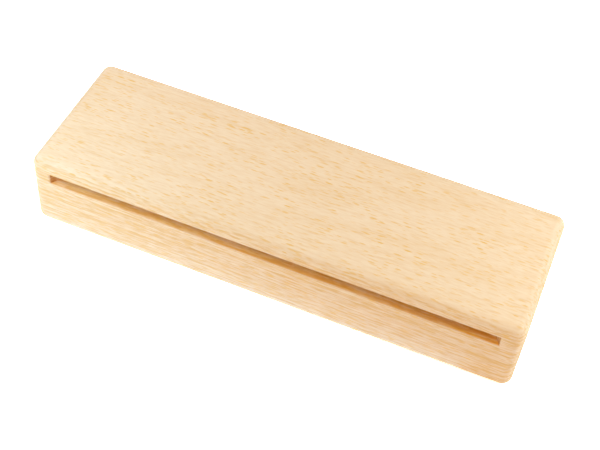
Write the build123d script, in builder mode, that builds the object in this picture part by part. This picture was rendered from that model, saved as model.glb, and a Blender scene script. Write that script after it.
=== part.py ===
from build123d import *
import os

# A slotted woodblock: three beech boards glued face to face, then rounded over together.
# The block lies along X, its sound slot opens towards -Y, and it stands on Z = 0.

# Driving dimensions, in millimetres
block_length = 200.0
block_width = 63.0
base_thickness = 24.0  # board under the slot
slot_height = 5.0  # board that the slot is sawn out of
plate_thickness = 6.0  # struck board over the slot
end_wall = 8.0  # wood beside each end of the slot, along the front face
back_wall = 13.0  # wood behind the deepest point of the slot
edge_radius = 4.0  # round-over on every outer edge of the glued block
edge_land = 1.0  # least flat edge that the round-over leaves on a board

# The recess is the part of a round disc that reaches into the board through its front face:
# the disc meets that face over the slot's length and is deepest in the middle.
slot_length = block_length - 2 * end_wall
slot_depth = block_width - back_wall
disc_radius = ((slot_length / 2) ** 2 + slot_depth**2) / (2 * slot_depth)
disc_centre_y = block_width / 2 - back_wall - disc_radius

# The round-over stays within the boards that carry it
round_over = min(edge_radius, plate_thickness - edge_land, base_thickness - edge_land)

# Glue faces, as heights above the table
slot_floor_z = base_thickness
slot_ceiling_z = base_thickness + slot_height

# Base block: rounded along its foot and its four corners
with BuildPart() as base_block:
    with BuildSketch(Plane.XY):
        Rectangle(block_length, block_width)
    extrude(amount=base_thickness)
    base_corners = base_block.edges().filter_by(Axis.Z)
    base_foot = base_block.faces().sort_by(Axis.Z).first.edges()
    fillet(base_corners + base_foot, radius=round_over)
base_block.part.label = "base_block"

# Slot board: the same outline, with the disc-shaped recess open at the front
with BuildPart() as slot_board:
    with BuildSketch(Plane.XY.offset(slot_floor_z)):
        RectangleRounded(block_length, block_width, round_over)
        with Locations((0, disc_centre_y)):
            Circle(disc_radius, mode=Mode.SUBTRACT)
    extrude(amount=slot_height)
slot_board.part.label = "slot_board"

# Sound plate: rounded along its upper rim and its four corners
with BuildPart() as sound_plate:
    with BuildSketch(Plane.XY.offset(slot_ceiling_z)):
        Rectangle(block_length, block_width)
    extrude(amount=plate_thickness)
    plate_corners = sound_plate.edges().filter_by(Axis.Z)
    plate_rim = sound_plate.faces().sort_by(Axis.Z).last.edges()
    fillet(plate_corners + plate_rim, radius=round_over)
sound_plate.part.label = "sound_plate"

# One STEP file for each board
os.makedirs("parts", exist_ok=True)
export_step(base_block.part, "parts/base_block.step")
export_step(slot_board.part, "parts/slot_board.step")
export_step(sound_plate.part, "parts/sound_plate.step")
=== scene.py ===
"""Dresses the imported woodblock: three beech boards glued into one block, in a plain studio."""

import logging
import math
from dataclasses import dataclass, field
from enum import Enum

import bpy
import numpy as np
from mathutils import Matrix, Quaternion, Vector


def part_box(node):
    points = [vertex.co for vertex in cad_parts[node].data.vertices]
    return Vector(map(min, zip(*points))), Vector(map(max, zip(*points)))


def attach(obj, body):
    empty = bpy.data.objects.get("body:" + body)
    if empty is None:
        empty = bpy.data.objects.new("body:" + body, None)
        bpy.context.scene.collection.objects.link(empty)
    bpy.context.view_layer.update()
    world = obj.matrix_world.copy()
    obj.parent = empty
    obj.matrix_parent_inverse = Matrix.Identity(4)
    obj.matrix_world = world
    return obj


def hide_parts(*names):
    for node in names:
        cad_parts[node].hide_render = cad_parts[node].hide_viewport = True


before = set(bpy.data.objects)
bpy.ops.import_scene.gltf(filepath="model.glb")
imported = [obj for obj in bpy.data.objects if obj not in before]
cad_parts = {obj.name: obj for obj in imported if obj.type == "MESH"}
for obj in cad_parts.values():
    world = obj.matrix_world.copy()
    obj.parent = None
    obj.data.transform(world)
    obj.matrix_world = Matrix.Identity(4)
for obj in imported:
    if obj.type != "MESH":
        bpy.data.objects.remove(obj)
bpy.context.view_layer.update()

Colour = tuple[float, float, float]
Point = tuple[float, float, float]
Band = tuple[float, float]
Input = bpy.types.NodeSocket | float | tuple

log = logging.getLogger("woodblock")

MM = 0.001
MM_PER_METRE = 1000.0

# Sizes of the block that the boards' own boxes don't give
ROUND_OVER = 4.0 * MM
END_WALL = 8.0 * MM
BACK_WALL = 13.0 * MM

# What the saw takes between two boards, in millimetres
KERF = 2.0

# Painted shade inside the slot: what a sawn face multiplies the wood's colour by to darken it where shade
# falls, on the slot's floor and roof, then more on its wall
PAINTED_SHADE_GOLDEN = (0.98, 0.80, 0.20)
PAINTED_SHADE_DARK = (0.70, 0.42, 0.12)

# Name of the value that marks a sawn face, and the angle in degrees past which an edge stays crisp
SAWN_MARK = "sawn"
CRISP_EDGE = 40.0

WHITE = (1.0, 1.0, 1.0)

# The point of the block that the lamps face, in metres
LAMP_AIM = (0.0, -0.01, 0.02)


class Rim(Enum):
    """Which edge of a board carries the round-over; the other edge is a glue edge."""

    TOP = "top"
    FOOT = "foot"


class NodeSheet:
    """Adds nodes to one shader tree and links them together."""

    def __init__(self, tree: bpy.types.NodeTree) -> None:
        """Empties the tree and keeps it."""
        self.tree = tree
        tree.nodes.clear()

    def add(self, kind: str, **settings: object) -> bpy.types.Node:
        """Adds one node.

        Args:
            kind: the node's type, such as "ShaderNodeMath".
            settings: the node's own properties.

        Returns:
            The new node.
        """
        node = self.tree.nodes.new(kind)
        for name, value in settings.items():
            setattr(node, name, value)
        return node

    def feed(self, socket: bpy.types.NodeSocket, value: Input) -> None:
        """Links a value that is a socket, or sets it as the socket's own value.

        Args:
            socket: the input to fill.
            value: a socket or a plain value.
        """
        if isinstance(value, bpy.types.NodeSocket):
            self.tree.links.new(value, socket)
        else:
            socket.default_value = value

    def math(self, operation: str, *inputs: Input, clamp: bool = False) -> bpy.types.NodeSocket:
        """Works out one number.

        Args:
            operation: the Math node's operation.
            inputs: its numbers, each a socket or a plain value.
            clamp: whether the result is held between 0 and 1.

        Returns:
            The result's socket.
        """
        node = self.add("ShaderNodeMath", operation=operation, use_clamp=clamp)
        for socket, value in zip(node.inputs, inputs):
            self.feed(socket, value)
        return node.outputs[0]

    def vector(self, operation: str, *inputs: Input) -> bpy.types.NodeSocket:
        """Works out one vector.

        Args:
            operation: the Vector Math node's operation.
            inputs: its vectors, each a socket or a plain value.

        Returns:
            The result's socket.
        """
        node = self.add("ShaderNodeVectorMath", operation=operation)
        for socket, value in zip(node.inputs, inputs):
            self.feed(socket, value)
        return node.outputs[0]

    def split(self, vector: Input) -> tuple[bpy.types.NodeSocket, ...]:
        """Takes a vector apart.

        Args:
            vector: the vector.

        Returns:
            The sockets of its x, y and z.
        """
        node = self.add("ShaderNodeSeparateXYZ")
        self.feed(node.inputs[0], vector)
        return tuple(node.outputs)

    def join(self, x: Input, y: Input, z: Input) -> bpy.types.NodeSocket:
        """Puts a vector together.

        Args:
            x: its first part.
            y: its second part.
            z: its third part.

        Returns:
            The vector's socket.
        """
        node = self.add("ShaderNodeCombineXYZ")
        for socket, value in zip(node.inputs, (x, y, z)):
            self.feed(socket, value)
        return node.outputs[0]

    def length(self, vector: Input) -> bpy.types.NodeSocket:
        """Measures a vector.

        Args:
            vector: the vector.

        Returns:
            The socket of its length.
        """
        node = self.add("ShaderNodeVectorMath", operation="LENGTH")
        self.feed(node.inputs[0], vector)
        return node.outputs["Value"]

    def ramp(self, value: Input, low: Input, high: Input) -> bpy.types.NodeSocket:
        """Eases a number from 0 to 1.

        Args:
            value: the number.
            low: where the result is 0.
            high: where the result is 1.

        Returns:
            The eased number's socket.
        """
        node = self.add("ShaderNodeMapRange", interpolation_type="SMOOTHSTEP")
        self.feed(node.inputs["Value"], value)
        self.feed(node.inputs["From Min"], low)
        self.feed(node.inputs["From Max"], high)
        return node.outputs["Result"]

    def between(self, share: Input, least: float) -> bpy.types.NodeSocket:
        """Lifts a share that runs from 0 to 1, so that it runs from a least value to 1.

        Args:
            share: the share.
            least: the result where the share is 0.

        Returns:
            The lifted share's socket.
        """
        return self.math("MULTIPLY_ADD", share, 1.0 - least, least)

    def noise(self, place: Input, detail: float = 2.0) -> bpy.types.Node:
        """Adds a noise texture whose features are about one unit of place across.

        Args:
            place: where the noise is read.
            detail: how many finer layers it has.

        Returns:
            The noise's node.
        """
        node = self.add("ShaderNodeTexNoise")
        self.feed(node.inputs["Vector"], place)
        node.inputs["Scale"].default_value = 1.0
        node.inputs["Detail"].default_value = detail
        return node

    def tint(self, colour: Input, factor: Input, other: Input, blend: str = "MIX") -> bpy.types.NodeSocket:
        """Blends one colour over another.

        Args:
            colour: the colour underneath.
            factor: how much of the other colour shows, from 0 to 1.
            other: the colour on top.
            blend: the Mix node's way of blending.

        Returns:
            The blended colour's socket.
        """
        node = self.add("ShaderNodeMix", data_type="RGBA", blend_type=blend)
        self.feed(node.inputs["Factor"], factor)
        for name, value in (("A", colour), ("B", other)):
            socket = next(s for s in node.inputs if s.name == name and s.type == "RGBA")
            self.feed(socket, value if isinstance(value, bpy.types.NodeSocket) else (*value, 1.0))
        return next(s for s in node.outputs if s.type == "RGBA")

    def shader(self, kind: str, colour: Colour) -> bpy.types.Node:
        """Adds a shader of one plain colour.

        Args:
            kind: the shader node's type.
            colour: its colour.

        Returns:
            The shader's node.
        """
        node = self.add(kind)
        node.inputs["Color"].default_value = (*colour, 1.0)
        return node

    def both(self, first: bpy.types.Node, second: bpy.types.Node) -> bpy.types.Node:
        """Adds one shader's light to another's.

        Args:
            first: one shader.
            second: the other.

        Returns:
            The sum's node.
        """
        node = self.add("ShaderNodeAddShader")
        self.feed(node.inputs[0], first.outputs[0])
        self.feed(node.inputs[1], second.outputs[0])
        return node

    def either(self, share: Input, first: bpy.types.Node, second: bpy.types.Node) -> bpy.types.Node:
        """Shows one shader or another.

        Args:
            share: 0 where the first shows and 1 where the second does.
            first: one shader.
            second: the other.

        Returns:
            The mixed shader's node.
        """
        node = self.add("ShaderNodeMixShader")
        self.feed(node.inputs[0], share)
        self.feed(node.inputs[1], first.outputs[0])
        self.feed(node.inputs[2], second.outputs[0])
        return node


@dataclass(frozen=True)
class GrainNoise:
    """One kind of soft mark in the wood: a noise stretched along the grain. Lengths are in millimetres.

    Attributes:
        size: a mark's size along the grain, round the pith and out from it.
        low: the noise's value where a mark starts to show.
        high: the noise's value where it shows in full.
        strength: how strongly it then shows.
    """

    size: Point
    low: float
    high: float
    strength: float

    def mask(self, sheet: NodeSheet, place: Input) -> bpy.types.NodeSocket:
        """How strongly a mark shows at a place.

        Args:
            sheet: the finish's nodes.
            place: millimetres along the grain, round the pith and out from it.

        Returns:
            A number from 0, no mark, up to the marks' strength.
        """
        noise = sheet.noise(sheet.vector("DIVIDE", place, self.size)).outputs["Fac"]
        return sheet.math("MULTIPLY", sheet.ramp(noise, self.low, self.high), self.strength)


@dataclass(frozen=True)
class GrainFlecks:
    """One size of the short flecks that rays leave in beech. Lengths are in millimetres.

    The plank is divided into cells along the grain, round the pith and out from it, and a cell may hold one
    fleck. Where a face cuts a fleck, it shows as a dash along the grain.

    Attributes:
        cell: a cell's length along the grain, round the pith and out from it.
        half: a fleck's half sizes in the same three directions.
        share: share of the cells that hold a fleck.
        strength: how strongly the boldest fleck shows.
        least_size: the smallest fleck's size, in half sizes.
        size_spread: how much larger the largest fleck is, in half sizes.
        core: share of a fleck, out from its middle, that shows in full.
        faintest: share of the strength that the faintest fleck has.
        patch: size of the patches in which the flecks are bolder or fainter.
        patch_band: the noise's values where a patch starts to be bold and where it is.
        patch_least: share of the strength in a faint patch.
    """

    cell: Point
    half: Point
    share: float
    strength: float
    least_size: float = 0.7
    size_spread: float = 0.6
    core: float = 0.4
    faintest: float = 0.4
    patch: Point = (24.0, 9.0, 6.0)
    patch_band: Band = (0.4, 0.6)
    patch_least: float = 0.6

    def mask(self, sheet: NodeSheet, place: Input) -> bpy.types.NodeSocket:
        """How strongly a fleck shows at a place.

        A fleck is the set of places whose distance from the cell's own point, measured in the fleck's half
        sizes, is under one.

        Args:
            sheet: the finish's nodes.
            place: millimetres along the grain, round the pith and out from it.

        Returns:
            A number from 0, no fleck, up to the flecks' strength.
        """
        cells = sheet.add("ShaderNodeTexVoronoi", voronoi_dimensions="3D", feature="F1")
        cells.inputs["Scale"].default_value = 1.0
        spot = sheet.vector("DIVIDE", place, self.cell)
        sheet.feed(cells.inputs["Vector"], spot)
        chance, size, weight = sheet.split(cells.outputs["Color"])
        off = sheet.vector("SUBTRACT", spot, cells.outputs["Position"])
        stretch = tuple(cell / half for cell, half in zip(self.cell, self.half))
        far = sheet.length(sheet.vector("MULTIPLY", off, stretch))
        grown = sheet.math("MULTIPLY_ADD", size, self.size_spread, self.least_size)
        spindle = sheet.ramp(sheet.math("DIVIDE", far, grown), 1.0, self.core)
        present = sheet.math("LESS_THAN", chance, self.share)
        bold = sheet.math("MULTIPLY", sheet.between(weight, self.faintest), self.strength)
        slow = sheet.noise(sheet.vector("DIVIDE", place, self.patch), detail=1.0).outputs["Fac"]
        crowd = sheet.between(sheet.ramp(slow, *self.patch_band), self.patch_least)
        spindle = sheet.math("MULTIPLY", spindle, crowd)
        return sheet.math("MULTIPLY", sheet.math("MULTIPLY", spindle, present), bold)


@dataclass(frozen=True)
class BeechFinish:
    """Fine-sanded beech: one solid figure in the plank that the boards were sawn from.

    Lengths are in millimetres. The pith runs along the block, under it, so that the top face is flat-sawn
    and shows flecks, and the front face is nearer to quarter-sawn and shows fine lines as well.

    Attributes:
        name: the material's name.
        pale: the wood between the lines.
        line: the wood in a growth line.
        fleck: the wood in a fleck.
        side_grain: what a front or back face multiplies the colour by.
        end_grain: what an end face multiplies the colour by.
        sawn: painted shade: what a sawn inner face multiplies the colour by, darkening the inside of the
            slot.
        painted_shade_least: share of the painted shade at the slot's lighter left end, where more light
            falls.
        kerf_shift: how far up the plank the board sat.
        pith: the pith's place across the block and its height.
        pith_rise: the pith's slope along the block.
        wander: how far the grain strays from straight.
        sway: size of the noise that makes it stray.
        ring_width: distance between growth rings.
        ring_strength: how strongly the rings show.
        ring_start: share of a ring's width where its late wood starts to show.
        ring_peak: share of a ring's width where it shows most.
        flat_share: share of the rings and lines that shows on a level face.
        flat_calm: share of the streaks and fibres that shows on a level face.
        side_band: how squarely a face looks forward or back where side grain starts, and where it is full.
        end_band: how squarely a face looks along the block where end grain starts, and where it is full.
        saw_least: share of the slot's painted shade that the palest saw streak takes.
        painted_shade_run: where along the block the painted shade on an inner face starts to deepen towards
            the right end, and where it is full.
        roughness: the surface's roughness.
        gloss: the surface's specular level.
        fibres: the fine fibres on every face.
        lines: the long lines of the growth rings.
        streaks: the short streaks on every face.
        dashes: the dashes on upright faces.
        saw_streaks: the streaks that the saw left on an inner face.
        bold_flecks: the large flecks.
        faint_flecks: the small ones between them.
    """

    name: str
    pale: Colour
    line: Colour
    fleck: Colour
    side_grain: Colour
    end_grain: Colour
    # Painted shade inside the slot, and how much of it the slot's lighter end takes
    sawn: Colour
    painted_shade_least: float
    kerf_shift: float
    pith: tuple[float, float] = (9.0, -82.0)
    pith_rise: float = 0.014
    wander: float = 2.2
    sway: Point = (90.0, 45.0, 45.0)
    ring_width: float = 1.5
    ring_strength: float = 0.15
    ring_start: float = 0.35
    ring_peak: float = 0.95
    flat_share: float = 0.25
    flat_calm: float = 0.6
    side_band: Band = (0.45, 0.95)
    end_band: Band = (0.75, 1.0)
    saw_least: float = 0.4
    # Painted shade deepens along the slot towards its right end, in millimetres along x
    painted_shade_run: Band = (-20.0, 110.0)
    roughness: float = 0.55
    gloss: float = 0.4
    fibres: GrainNoise = GrainNoise((4.0, 0.5, 0.55), 0.3, 0.7, 0.35)
    lines: GrainNoise = GrainNoise((40.0, 9.0, 0.7), 0.42, 0.68, 0.5)
    streaks: GrainNoise = GrainNoise((9.0, 0.6, 0.7), 0.48, 0.72, 0.42)
    dashes: GrainNoise = GrainNoise((5.5, 2.5, 0.65), 0.48, 0.72, 0.55)
    saw_streaks: GrainNoise = GrainNoise((16.0, 1.3, 1.3), 0.35, 0.65, 1.0)
    bold_flecks: GrainFlecks = GrainFlecks((5.0, 1.1, 1.2), (1.9, 0.28, 0.45), 0.9, 1.0)
    faint_flecks: GrainFlecks = GrainFlecks((4.2, 0.7, 0.8), (1.8, 0.2, 0.3), 0.9, 0.8)

    def plank_place(self, sheet: NodeSheet) -> bpy.types.NodeSocket:
        """Finds a place in the plank, moved sideways by a slow noise so that the grain wanders.

        Args:
            sheet: the finish's nodes.

        Returns:
            Millimetres along, across and up the plank.
        """
        metres = sheet.add("ShaderNodeTexCoord").outputs["Object"]
        lift = (0.0, 0.0, self.kerf_shift)
        place = sheet.vector("MULTIPLY_ADD", metres, (MM_PER_METRE,) * 3, lift)
        slow = sheet.noise(sheet.vector("DIVIDE", place, self.sway), detail=1.0)
        middle = (0.5, 0.5, 0.5)
        stray = sheet.vector("SUBTRACT", slow.outputs["Color"], middle)
        return sheet.vector("MULTIPLY_ADD", stray, (0.0, self.wander, self.wander), place)

    def tree_place(self, sheet: NodeSheet) -> bpy.types.NodeSocket:
        """Turns a place in the plank into one in the tree.

        The distance out is the place's distance from the pith, and the distance round is the angle about
        the pith times the pith's depth under the block's foot.

        Args:
            sheet: the finish's nodes.

        Returns:
            Millimetres along the grain, round the pith and out from the pith.
        """
        x, y, z = sheet.split(self.plank_place(sheet))
        pith_y, pith_z = self.pith
        side = sheet.math("SUBTRACT", y, pith_y)
        height = sheet.math("SUBTRACT", sheet.math("MULTIPLY_ADD", x, self.pith_rise, z), pith_z)
        radius = sheet.length(sheet.join(side, height, 0.0))
        turn = sheet.math("MULTIPLY", sheet.math("ARCTAN2", side, height), abs(pith_z))
        return sheet.join(x, turn, radius)

    def shade(self, sheet: NodeSheet, place: Input, upright: Input) -> bpy.types.NodeSocket:
        """How far the wood at a place is from pale towards line, from 0 to 1.

        Args:
            sheet: the finish's nodes.
            place: the place in the tree.
            upright: 1 on the front, back, end and sawn faces, 0 on the top and the foot.

        Returns:
            The sum of the lines, the rings, the dashes, the streaks and the fibres.
        """
        ring = sheet.math("FRACT", sheet.math("DIVIDE", sheet.split(place)[2], self.ring_width))
        rise = sheet.ramp(ring, self.ring_start, self.ring_peak)
        fall = sheet.ramp(ring, 1.0, self.ring_peak)
        late = sheet.math("MULTIPLY", sheet.math("MULTIPLY", rise, fall), self.ring_strength)
        layers = sheet.math("ADD", self.lines.mask(sheet, place), late)
        layers = sheet.math("MULTIPLY", layers, sheet.between(upright, self.flat_share))
        layers = sheet.math("MULTIPLY_ADD", self.dashes.mask(sheet, place), upright, layers)
        marks = sheet.math("ADD", self.streaks.mask(sheet, place), self.fibres.mask(sheet, place))
        calm = sheet.between(upright, self.flat_calm)
        return sheet.math("MULTIPLY_ADD", marks, calm, layers, clamp=True)

    def painted_shade_and_streaks(self, sheet: NodeSheet, place: Input, inside: Input) -> bpy.types.NodeSocket:
        """How much of the slot's painted shade the wood at a place takes.

        The saw left paler streaks along the grain, and the painted shade deepens towards one end of the
        block.

        Args:
            sheet: the finish's nodes.
            place: the place in the tree.
            inside: 1 on a sawn inner face and 0 on a sanded outer one.

        Returns:
            A number from 0 to 1.
        """
        cut = sheet.between(self.saw_streaks.mask(sheet, place), self.saw_least)
        # Painted shade, deeper towards the slot's right end
        painted_falloff = sheet.between(sheet.ramp(sheet.split(place)[0], *self.painted_shade_run), self.painted_shade_least)
        return sheet.math("MULTIPLY", inside, sheet.math("MULTIPLY", cut, painted_falloff))

    def wood(self, sheet: NodeSheet) -> bpy.types.NodeSocket:
        """Colours the wood: its marks and flecks, then side grain, end grain, and the slot's painted shade
        with its saw streaks over them.

        Args:
            sheet: the finish's nodes.

        Returns:
            The colour's socket.
        """
        place = self.tree_place(sheet)
        normal = sheet.split(sheet.add("ShaderNodeTexCoord").outputs["Normal"])
        endward, sideward, level = (sheet.math("ABSOLUTE", part) for part in normal)
        inside = sheet.add("ShaderNodeAttribute", attribute_name=SAWN_MARK).outputs["Fac"]
        upright = sheet.math("MAXIMUM", sheet.math("SUBTRACT", 1.0, level), inside)
        colour = sheet.tint(self.pale, self.shade(sheet, place, upright), self.line)
        for flecks in (self.faint_flecks, self.bold_flecks):
            colour = sheet.tint(colour, flecks.mask(sheet, place), self.fleck)
        overlays = (
            (sheet.ramp(sideward, *self.side_band), self.side_grain),
            (sheet.ramp(endward, *self.end_band), self.end_grain),
            # Painted shade inside the slot, broken by paler saw streaks
            (self.painted_shade_and_streaks(sheet, place, inside), self.sawn),
        )
        for share, overlay in overlays:
            colour = sheet.tint(colour, share, overlay, blend="MULTIPLY")
        return colour

    def make(self) -> bpy.types.Material:
        """Builds the finish.

        Returns:
            The material.
        """
        material = bpy.data.materials.new(self.name)
        material.use_nodes = True
        sheet = NodeSheet(material.node_tree)
        shader = sheet.add("ShaderNodeBsdfPrincipled")
        sheet.feed(shader.inputs["Base Color"], self.wood(sheet))
        shader.inputs["Roughness"].default_value = self.roughness
        shader.inputs["Specular IOR Level"].default_value = self.gloss
        out = sheet.add("ShaderNodeOutputMaterial")
        sheet.feed(out.inputs["Surface"], shader.outputs["BSDF"])
        return material


@dataclass(frozen=True)
class BlockOutline:
    """The outline that the three boards share, seen from above: a rectangle with rounded corners.

    Attributes:
        half_length: half the block's length, along x.
        half_width: half the block's width, along y.
        corner: radius of the corners and of the round-over.
        mouth: half the slot's length along the front face.
        mouth_soft: how far an eased lip takes to fade out at an end of the mouth.
        step: distance between grid lines.
        crease: distance from a tangent line to the grid line that holds the flat face flat.
        corner_steps: steps in a quarter turn.
    """

    half_length: float
    half_width: float
    corner: float
    mouth: float
    mouth_soft: float = 0.4 * MM
    step: float = 2.0 * MM
    crease: float = 0.3 * MM
    corner_steps: int = 12

    @property
    def inner_length(self) -> float:
        """Half length of the flat top inside the round-over."""
        return self.half_length - self.corner

    @property
    def inner_width(self) -> float:
        """Half width of the flat top inside the round-over."""
        return self.half_width - self.corner

    def columns(self) -> np.ndarray:
        """Spaces the grid lines along the length, with extra ones at the ends of the mouth.

        Returns:
            Their places along x, from the left end to the right.
        """
        edge = self.mouth - 2 * self.mouth_soft
        middle = np.linspace(0.0, edge, round(edge / self.step) + 1)
        ends = np.array([self.mouth - self.mouth_soft, self.mouth, self.mouth + self.mouth_soft])
        half = np.concatenate([middle, ends, [self.inner_length - self.crease, self.inner_length]])
        return np.concatenate([-half[:0:-1], half])

    def rows(self) -> np.ndarray:
        """Spaces the grid lines along the width.

        Returns:
            Their places along y, from the front to the back.
        """
        edge = self.inner_width - self.crease
        middle = np.linspace(-edge, edge, round(2 * edge / self.step) + 1)
        return np.concatenate([[-self.inner_width], middle, [self.inner_width]])

    def path(self) -> tuple[np.ndarray, np.ndarray]:
        """Walks once round the flat top, turning at each corner.

        The walk goes along the front, the right end, the back and the left end. At a corner it stays on the
        corner's grid point while its direction turns by a quarter.

        Returns:
            The grid point's number at each step, and the outward direction there as an angle.
        """
        across, deep = len(self.columns()), len(self.rows())
        number = np.arange(across * deep).reshape(across, deep)
        sides = (number[:, 0], number[-1, :], number[::-1, -1], number[0, ::-1])
        starts = np.radians([-90.0, 0.0, 90.0, 180.0])
        quarter = np.linspace(0.0, math.pi / 2, self.corner_steps + 1)[1:-1]
        points = [np.concatenate([side, np.full(len(quarter), side[-1])]) for side in sides]
        angles = [np.concatenate([np.full(len(side), a), a + quarter]) for side, a in zip(sides, starts)]
        return np.concatenate(points), np.concatenate(angles)

    def lip(self, x: np.ndarray, angle: np.ndarray) -> np.ndarray:
        """How much of the open slot each step of the walk borders.

        Along the front it eases from 0 to 1 over a soft stretch about each end of the mouth. On the other
        sides it is 0.

        Args:
            x: each step's place along the length.
            angle: each step's outward direction.

        Returns:
            A number from 0 to 1 for each step.
        """
        inside = np.clip((self.mouth + self.mouth_soft - np.abs(x)) / (2 * self.mouth_soft), 0.0, 1.0)
        faces_front = np.isclose(angle, -math.pi / 2)
        return np.where(faces_front, inside * inside * (3 - 2 * inside), 0.0)


@dataclass
class Board:
    """A board of the block: what its two kinds share.

    Attributes:
        name: the piece's name.
        node: the CAD node that it stands for.
        slot: a material slot's name; not used.
        outline: the block's outline.
        finish: its wood.
        joint_ease: rounding of the glue edges where the boards meet.
    """

    name: str
    node: str
    slot: str
    outline: BlockOutline
    finish: BeechFinish
    joint_ease: float = field(default=0.04 * MM, kw_only=True)

    @property
    def heights(self) -> tuple[float, float]:
        """The board's lowest and highest heights."""
        low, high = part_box(self.node)
        return low.z, high.z

    def shape(self, points: np.ndarray, faces: list[list[int]], sawn: np.ndarray) -> bpy.types.Object:
        """Puts points and faces into a smooth mesh whose sharp edges stay crisp.

        Args:
            points: places, one row each, in metres.
            faces: the points' numbers round each face.
            sawn: for each point, 1 on a sawn inner face and 0 on a sanded outer one.

        Returns:
            The piece, at the origin.
        """
        mesh = bpy.data.meshes.new(self.name)
        mesh.from_pydata(points, [], faces)
        marks = mesh.attributes.new(SAWN_MARK, "FLOAT", "POINT")
        marks.data.foreach_set("value", sawn.astype(np.float32))
        mesh.polygons.foreach_set("use_smooth", np.ones(len(mesh.polygons), bool))
        mesh.set_sharp_from_angle(angle=math.radians(CRISP_EDGE))
        mesh.update()
        piece = bpy.data.objects.new(self.name, mesh)
        bpy.context.scene.collection.objects.link(piece)
        return piece

    def dress(self, piece: bpy.types.Object) -> bpy.types.Object:
        """Gives the board's piece its wood and ties it to the frame.

        Args:
            piece: the piece.

        Returns:
            The piece.
        """
        piece.data.materials.append(self.finish.make())
        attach(piece, "root")
        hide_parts(self.node)
        return piece


@dataclass
class CappedBoard(Board):
    """A board with flat faces, one rounded rim and one glue edge: the sound plate or the base.

    Attributes:
        rim: which edge is rounded.
        lip_ease: rounding of the glue edge where the slot is open.
        side_steps: steps down the straight side.
        lip_steps: steps round the eased edge.
    """

    rim: Rim
    lip_ease: float = 0.25 * MM
    side_steps: int = 4
    lip_steps: int = 5

    def profile(
        self, lip: np.ndarray, low: float, high: float
    ) -> tuple[np.ndarray, np.ndarray, np.ndarray]:
        """The board's edge in section, at every step of the walk.

        From the flat face the section turns down through a quarter circle, drops straight, turns in through
        a small quarter circle and runs back to the flat glue face.

        Args:
            lip: how much of the open slot each step borders.
            low: the board's lowest height.
            high: the board's highest height.

        Returns:
            Distance out from the flat top and height, each with a row for every step of the section, and
            for every step 1 on the glue face and 0 elsewhere.
        """
        radius = self.outline.corner
        crease = self.outline.crease
        ease = self.joint_ease + (self.lip_ease - self.joint_ease) * lip
        turn = np.linspace(math.pi / 2, 0.0, self.outline.corner_steps + 1)[:, None] + 0 * lip
        small = np.linspace(0.0, math.pi / 2, self.lip_steps + 1)[:, None] + 0 * lip
        drop = np.linspace(0.0, 1.0, self.side_steps + 1)[:, None]
        start = high - radius - crease
        stop = low + ease + crease / 2
        flat = np.zeros((1, len(lip)))
        out = [
            radius * np.cos(turn),
            radius + 0 * drop * lip,
            radius - ease * (1 - np.cos(small)),
            radius - ease - crease + flat,
            flat,
        ]
        up = [
            high - radius + radius * np.sin(turn),
            start + (stop - start) * drop,
            low + ease * (1 - np.sin(small)),
            low + flat,
            low + flat,
        ]
        distance, level = np.concatenate(out), np.concatenate(up)
        glue_rows = 2
        glued = np.arange(len(distance)) >= len(distance) - glue_rows
        if self.rim is Rim.FOOT:
            return distance[::-1], low + high - level[::-1], glued[::-1]
        return distance, level, glued

    def build(self) -> bpy.types.Object:
        """Carries the section round the outline and closes it with two flat grids.

        A point is the walk's grid point plus the section's distance along the outward direction.

        Returns:
            The board.
        """
        low, high = self.heights
        columns, rows = self.outline.columns(), self.outline.rows()
        grid = np.stack(np.meshgrid(columns, rows, indexing="ij"), -1).reshape(-1, 2)
        walk, angle = self.outline.path()
        outward = np.stack([np.cos(angle), np.sin(angle)], -1)
        distance, level, glued = self.profile(self.outline.lip(grid[walk, 0], angle), low, high)

        spread = grid[walk] + distance[1:-1, :, None] * outward
        skirt = np.concatenate([spread, level[1:-1, :, None]], -1).reshape(-1, 3)
        top = np.column_stack([grid, np.full(len(grid), high)])
        foot = np.column_stack([grid, np.full(len(grid), low)])
        points = np.concatenate([top, skirt, foot])
        sawn = np.repeat(glued, [len(grid), *[len(walk)] * (len(glued) - 2), len(grid)])

        rings = np.arange(len(skirt)).reshape(len(distance) - 2, len(walk)) + len(grid)
        ring = np.concatenate([walk[None], rings, walk[None] + len(grid) + len(skirt)])
        after = np.roll(ring, -1, axis=1)
        quads = np.stack([ring[:-1], ring[1:], after[1:], after[:-1]], -1).reshape(-1, 4)
        top_fan = quads[:, 0] == quads[:, 3]
        foot_fan = quads[:, 1] == quads[:, 2]
        cells = np.arange(len(grid)).reshape(len(columns), len(rows))
        cap = np.stack([cells[:-1, :-1], cells[1:, :-1], cells[1:, 1:], cells[:-1, 1:]], -1).reshape(-1, 4)
        faces = [
            *cap.tolist(),
            *(cap[:, ::-1] + len(grid) + len(skirt)).tolist(),
            *quads[~top_fan & ~foot_fan].tolist(),
            *quads[top_fan][:, [0, 1, 2]].tolist(),
            *quads[foot_fan][:, [0, 1, 3]].tolist(),
        ]
        return self.dress(self.shape(points, faces, sawn))


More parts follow.
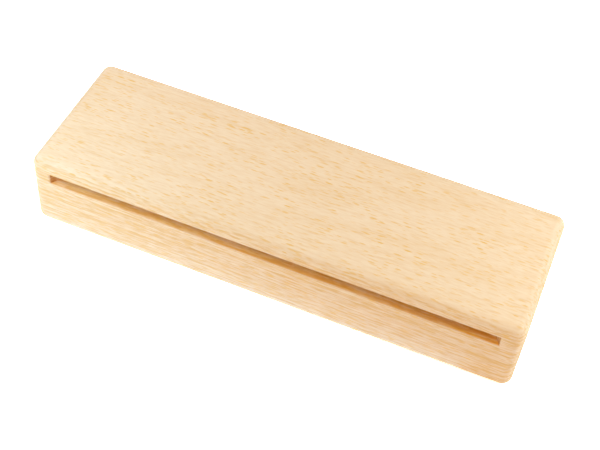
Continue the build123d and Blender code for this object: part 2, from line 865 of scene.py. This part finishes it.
@dataclass
class SlotBoard(Board):
    """The middle board: a bar bent round the disc-shaped recess, with a land at each end of the mouth.

    Attributes:
        back_wall: wood behind the deepest point of the recess.
        mouth_ease: rounding of the recess's upright edges at the mouth.
        ease_steps: steps round an eased upright edge.
    """

    back_wall: float
    mouth_ease: float = 0.4 * MM
    ease_steps: int = 5

    @property
    def front(self) -> float:
        """The front face, along y."""
        return -self.outline.half_width

    @property
    def depth(self) -> float:
        """The recess's depth in the middle."""
        return 2 * self.outline.half_width - self.back_wall

    @property
    def land_steps(self) -> int:
        """Steps round a front corner, where the outline faces the wall beside the mouth."""
        return 2 * self.outline.corner_steps

    @property
    def disc(self) -> tuple[float, float]:
        """The disc's radius, and its centre's place along y."""
        radius = (self.outline.mouth**2 + self.depth**2) / (2 * self.depth)
        return radius, self.front + self.depth - radius

    def outer(self) -> np.ndarray:
        """The outline from the left land round the back to the right land.

        Each corner is a quarter circle about an inner corner of the flat top, and the sides are the
        straight lines between them.

        Returns:
            Places in the plane.
        """
        shape = self.outline
        turns = (
            np.linspace(270, 180, self.land_steps),
            np.linspace(180, 90, shape.corner_steps),
            np.linspace(90, 0, shape.corner_steps),
            np.linspace(0, -90, self.land_steps),
        )
        signs = ((-1, -1), (-1, 1), (1, 1), (1, -1))
        corners = []
        for turn, (along, across) in zip(turns, signs):
            angle = np.radians(turn)
            centre = np.array([along * shape.inner_length, across * shape.inner_width])
            corners.append(centre + shape.corner * np.stack([np.cos(angle), np.sin(angle)], -1))
        walk = [corners[0]]
        for before, after in zip(corners, corners[1:]):
            run = np.linalg.norm(after[0] - before[-1])
            share = np.linspace(0.0, 1.0, round(run / shape.step) + 1)[1:-1, None]
            walk += [before[-1] + (after[0] - before[-1]) * share, after]
        return np.concatenate(walk)

    def recess(self, outer: np.ndarray) -> np.ndarray:
        """The recess's wall opposite each place of the outline.

        A ray from the middle of the mouth to the outline's place crosses the disc once. Beside the mouth
        the wall is stepped by depth instead, and its first steps turn out through a small quarter circle.

        Args:
            outer: the outline's places.

        Returns:
            The wall's places.
        """
        radius, centre = self.disc
        offset = outer - [0.0, self.front]
        turn = np.arctan2(offset[:, 1], offset[:, 0])
        lift = self.front - centre
        reach = np.sqrt(radius**2 - (lift * np.cos(turn)) ** 2) - lift * np.sin(turn)
        wall = np.stack([reach * np.cos(turn), self.front + reach * np.sin(turn)], -1)

        count = self.land_steps
        bend = np.linspace(0.0, math.pi / 2, self.ease_steps + 1)
        deep = wall[count - 1, 1] - self.front
        rest = np.linspace(self.mouth_ease, deep, count - len(bend) + 1)[1:]
        depth = np.concatenate([self.mouth_ease * (1 - np.cos(bend)), rest])
        flare = np.concatenate([self.mouth_ease * (1 - np.sin(bend)), 0 * rest])
        beside = np.sqrt(radius**2 - (self.front + depth - centre) ** 2) + flare
        wall[:count] = np.stack([-beside, self.front + depth], -1)
        wall[-count:] = np.stack([beside, self.front + depth], -1)[::-1]
        return wall

    def build(self) -> bpy.types.Object:
        """Carries the bar's section along the outline and closes its two ends.

        The section is a rectangle between the outline and the wall, with its two outer edges eased.

        Returns:
            The board.
        """
        low, high = self.heights
        outer = self.outer()
        wall = self.recess(outer)
        across = wall - outer
        inset = outer + across * (self.joint_ease / np.linalg.norm(across, axis=1))[:, None]
        section = (
            (outer, low + self.joint_ease),
            (outer, high - self.joint_ease),
            (inset, high),
            (wall, high),
            (wall, low),
            (inset, low),
        )
        rails = [np.column_stack([place, np.full(len(place), level)]) for place, level in section]
        points = np.stack(rails, 1)
        number = np.arange(points.shape[0] * points.shape[1]).reshape(points.shape[:2])
        beside = np.roll(number, -1, axis=1)
        quads = np.stack([number[:-1], beside[:-1], beside[1:], number[1:]], -1).reshape(-1, 4)
        faces = [*quads.tolist(), number[0, ::-1].tolist(), number[-1].tolist()]
        step = np.arange(len(points))
        past_ease = (step > self.ease_steps) & (step[::-1] > self.ease_steps)
        sawn = past_ease[:, None] & np.array([place is wall for place, _ in section])
        return self.dress(self.shape(points.reshape(-1, 3), faces, sawn.ravel()))


@dataclass(frozen=True)
class Softbox:
    """A studio lamp that the camera can't see, square or a strip.

    Attributes:
        name: the lamp's name.
        place: where it hangs, in metres.
        size: its side, or a strip's length along x.
        watts: its power.
        colour: its tint.
        aim: the point that it faces.
        strip: a strip's width, or none for a square.
    """

    name: str
    place: Point
    size: float
    watts: float
    colour: Colour
    aim: Point = LAMP_AIM
    strip: float | None = None

    def hang(self) -> bpy.types.Object:
        """Adds the lamp.

        Returns:
            The lamp's object.
        """
        light = bpy.data.lights.new(self.name, "AREA")
        light.shape = "RECTANGLE" if self.strip else "SQUARE"
        light.size = self.size
        light.size_y = self.strip or self.size
        light.energy = self.watts
        light.color = self.colour
        lamp = bpy.data.objects.new(self.name, light)
        lamp.location = self.place
        lamp.rotation_mode = "QUATERNION"
        lamp.rotation_quaternion = (Vector(self.place) - Vector(self.aim)).to_track_quat("Z", "Y")
        lamp.visible_camera = False
        bpy.context.scene.collection.objects.link(lamp)
        return lamp


@dataclass(frozen=True)
class Studio:
    """A white floor under a white surround, with soft lamps.

    Attributes:
        lamps: the softboxes.
        footprint: half the block's length and half its width.
        floor_side: the floor's side, in metres.
        floor_white: how much light the floor sends back.
        floor_base: what the camera sees of the floor in the deepest shadow, right beside the block.
        floor_gain: how much the lamps add to that for the camera, so that lit floor is plain white.
        shadow_reach: how far from the block the floor takes shadow.
        floor_glow: light that the floor sends out by itself, as a lit table does.
        surround: light that the surround gives the block, which is none.
    """

    lamps: tuple[Softbox, ...]
    footprint: tuple[float, float]
    floor_side: float = 8.0
    floor_white: float = 0.9
    floor_base: float = 0.15
    floor_gain: float = 2.4
    shadow_reach: float = 0.03
    floor_glow: Colour = (0.10, 0.095, 0.10)
    surround: Colour = (0.0, 0.0, 0.0)

    def seen(self, sheet: NodeSheet) -> bpy.types.NodeSocket:
        """Tells the eye's rays from light that spreads.

        Args:
            sheet: the nodes of the floor or the surround.

        Returns:
            One for rays from the camera, off gloss or through glass, and nought for the rest.
        """
        path = sheet.add("ShaderNodeLightPath")
        seen = sheet.math("MAXIMUM", path.outputs["Is Camera Ray"], path.outputs["Is Glossy Ray"])
        return sheet.math("MAXIMUM", seen, path.outputs["Is Transmission Ray"])

    def clear_of_block(self, sheet: NodeSheet) -> bpy.types.NodeSocket:
        """How far a place on the floor is from the block.

        It is the distance to the rectangle that the block covers, over the shadow's reach.

        Args:
            sheet: the floor's nodes.

        Returns:
            A number from 0 beside the block to 1 past the shadow's reach, and 1 on the floor's underside.
        """
        place = sheet.add("ShaderNodeTexCoord").outputs["Object"]
        outside = sheet.vector("SUBTRACT", sheet.vector("ABSOLUTE", place), (*self.footprint, 0.0))
        far = sheet.length(sheet.vector("MAXIMUM", outside, (0.0, 0.0, 0.0)))
        clear = sheet.math("DIVIDE", far, self.shadow_reach, clamp=True)
        return sheet.math("MAXIMUM", clear, sheet.add("ShaderNodeNewGeometry").outputs["Backfacing"])

    def floor_finish(self) -> bpy.types.Material:
        """Builds the floor's finish: a matt white table to the block, white with a shadow to the eye.

        Returns:
            The material.
        """
        material = bpy.data.materials.new("floor_white")
        material.use_nodes = True
        sheet = NodeSheet(material.node_tree)
        matt = sheet.shader("ShaderNodeBsdfDiffuse", (self.floor_white,) * 3)
        glow = sheet.shader("ShaderNodeEmission", self.floor_glow)
        base = sheet.shader("ShaderNodeEmission", WHITE)
        sheet.feed(base.inputs["Strength"], sheet.between(self.clear_of_block(sheet), self.floor_base))
        bright = sheet.shader("ShaderNodeBsdfDiffuse", (self.floor_gain,) * 3)
        table = sheet.either(self.seen(sheet), sheet.both(matt, glow), sheet.both(base, bright))
        out = sheet.add("ShaderNodeOutputMaterial")
        sheet.feed(out.inputs["Surface"], table.outputs[0])
        return material

    def lay_floor(self) -> bpy.types.Object:
        """Adds the floor, a single square face.

        Returns:
            The floor's object.
        """
        half = self.floor_side / 2
        corners = [(-half, -half, 0.0), (half, -half, 0.0), (half, half, 0.0), (-half, half, 0.0)]
        mesh = bpy.data.meshes.new("studio_floor")
        mesh.from_pydata(corners, [], [(0, 1, 2, 3)])
        mesh.materials.append(self.floor_finish())
        floor = bpy.data.objects.new("studio_floor", mesh)
        bpy.context.scene.collection.objects.link(floor)
        return floor

    def hang_surround(self) -> bpy.types.World:
        """Adds the surround: no light on the block, plain white to the eye.

        Returns:
            The world.
        """
        world = bpy.data.worlds.new("studio_surround")
        world.use_nodes = True
        sheet = NodeSheet(world.node_tree)
        unlit = sheet.shader("ShaderNodeBackground", self.surround)
        white = sheet.shader("ShaderNodeBackground", WHITE)
        out = sheet.add("ShaderNodeOutputWorld")
        sheet.feed(out.inputs["Surface"], sheet.either(self.seen(sheet), unlit, white).outputs[0])
        bpy.context.scene.world = world
        return world

    def build(self) -> None:
        """Builds the studio.

        The floor and the surround come first, then the lamps. Colours are shown as they are.
        """
        self.lay_floor()
        self.hang_surround()
        for lamp in self.lamps:
            lamp.hang()
        bpy.context.scene.view_settings.view_transform = "Standard"


@dataclass(frozen=True)
class PhotoCamera:
    """The camera where the photograph was taken from.

    Attributes:
        aim: the point in the middle of the picture, in metres.
        distance: metres from that point.
        azimuth: degrees to the right of straight in front.
        elevation: degrees above the table.
        roll: degrees that the camera is turned about its own axis.
        lens: focal length in millimetres.
        film: width of the picture in the camera, in millimetres.
        sight: the nearest and the farthest that it sees, in metres.
    """

    aim: Point = (3.30 * MM, -3.65 * MM, 17.5 * MM)
    distance: float = 464.06 * MM
    azimuth: float = 17.604
    elevation: float = 49.204
    roll: float = 5.964
    lens: float = 70.56
    film: float = 36.0
    sight: Band = (0.01, 50.0)

    def build(self) -> bpy.types.Object:
        """Adds the camera and makes it the scene's.

        Returns:
            The camera's object.
        """
        turn, lift = math.radians(self.azimuth), math.radians(self.elevation)
        back = Vector((math.sin(turn) * math.cos(lift), -math.cos(turn) * math.cos(lift), math.sin(lift)))
        data = bpy.data.cameras.new("photo_camera")
        data.sensor_fit = "HORIZONTAL"
        data.sensor_width = self.film
        data.lens = self.lens
        data.clip_start, data.clip_end = self.sight
        camera = bpy.data.objects.new("photo_camera", data)
        camera.location = Vector(self.aim) + back * self.distance
        camera.rotation_mode = "QUATERNION"
        roll = Quaternion((0.0, 0.0, 1.0), math.radians(self.roll))
        camera.rotation_quaternion = back.to_track_quat("Z", "Y") @ roll
        bpy.context.scene.collection.objects.link(camera)
        bpy.context.scene.camera = camera
        return camera


def beech(
    name: str, kerf_shift: float, sawn: Colour = PAINTED_SHADE_GOLDEN, painted_shade_least: float = 0.6
) -> BeechFinish:
    """The plank's beech for one board.

    Args:
        name: the material's name.
        kerf_shift: what the saw took from the plank below the board, in millimetres.
        sawn: painted shade: what a sawn inner face multiplies the colour by, darkening the inside of the
            slot.
        painted_shade_least: share of that painted shade at the slot's lighter left end.

    Returns:
        The finish.
    """
    return BeechFinish(
        name=name,
        pale=(0.975, 0.694, 0.435),
        line=(0.83, 0.455, 0.15),
        fleck=(0.89, 0.48, 0.11),
        side_grain=(1.0, 0.99, 0.97),
        end_grain=(0.92, 0.84, 0.74),
        sawn=sawn,
        painted_shade_least=painted_shade_least,
        kerf_shift=kerf_shift,
    )


def main() -> None:
    """Builds the whole picture.

    The boards come first, from the base up, then the studio with its lamps, then the camera.
    """
    logging.basicConfig(level=logging.INFO, format="%(name)s: %(message)s")
    _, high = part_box("slot_board")
    outline = BlockOutline(
        half_length=high.x,
        half_width=high.y,
        corner=ROUND_OVER,
        mouth=high.x - END_WALL,
    )
    base_wood = beech("base_beech", 0.0)
    # The slot board's wall takes the darker painted shade, as deep at both ends
    slot_wood = beech("slot_beech", KERF, PAINTED_SHADE_DARK, painted_shade_least=1.0)
    plate_wood = beech("plate_beech", 2 * KERF)
    boards = (
        CappedBoard("beech_base", "base_block", "base_beech", outline, base_wood, Rim.FOOT),
        SlotBoard("beech_slot_board", "slot_board", "slot_beech", outline, slot_wood, BACK_WALL),
        CappedBoard("beech_sound_plate", "sound_plate", "plate_beech", outline, plate_wood, Rim.TOP),
    )
    for board in boards:
        piece = board.build()
        log.info("%s: %d faces", piece.name, len(piece.data.polygons))

    # The last lamp is a strip on the table before the block, and it faces up
    card_place = (-0.01, -0.0355, 0.0005)
    card_aim = (*card_place[:2], 1.0)
    lamps = (
        Softbox("front_left", (-0.16, -0.12, 0.14), 0.14, 0.37, (0.42, 0.71, 1.0)),
        Softbox("right", (0.26, 0.0, 0.20), 0.12, 0.53, (0.60, 0.81, 1.0)),
        Softbox("back_right", (0.22, 0.20, 0.19), 0.10, 0.21, (0.78, 0.91, 1.0)),
        Softbox("overhead", (0.0, -0.40, 0.80), 0.60, 3.18, (1.0, 0.79, 0.54)),
        Softbox("back", (-0.22, 0.24, 0.23), 0.30, 0.62, (0.90, 0.93, 1.0)),
        Softbox("front_right", (0.28, -0.66, 0.36), 0.40, 0.72, (1.0, 0.78, 0.75)),
        Softbox("card", card_place, 0.18, 0.0065, (0.16, 0.50, 1.0), card_aim, strip=0.006),
    )
    Studio(lamps, footprint=(outline.half_length, outline.half_width)).build()
    PhotoCamera().build()


if __name__ == "__main__":
    main()
